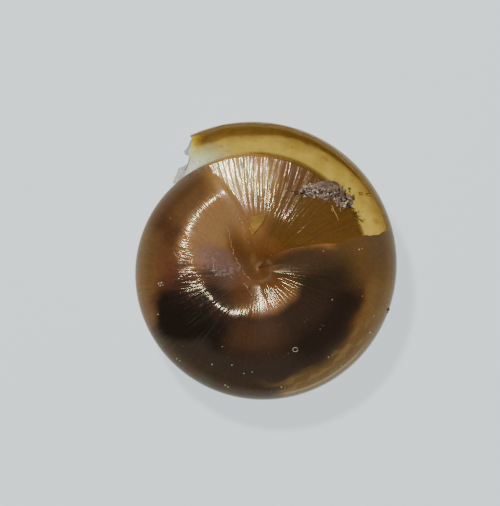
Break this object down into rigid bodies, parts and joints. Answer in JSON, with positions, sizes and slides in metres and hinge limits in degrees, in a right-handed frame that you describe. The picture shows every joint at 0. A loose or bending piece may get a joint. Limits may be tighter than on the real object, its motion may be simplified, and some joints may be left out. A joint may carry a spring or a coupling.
{
  "type": "land snail shell",
  "caption": "Thin, glossy amber-brown coiled shell of a small land snail, lying base up, with part of its last whorl's base broken away behind the lip.",
  "frame": {"origin": "on the coil axis, in the flat of the apex that the shell rests on", "axes": "+Z along the coil axis from the apex to the base, +X to the right and +Y to the top of the picture, with the lip at 117 degrees from +X"},
  "size_m": [0.0035, 0.0037, 0.0015],
  "materials": {
    "shell": "thin, glossy and slightly see-through amber brown, with fine radial growth lines",
    "debris": "dull dark soil grains and pale plant fibres stuck to the shell"
  },
  "bodies": {
    "root": {"shell": "shell"}
  },
  "joints": []
}
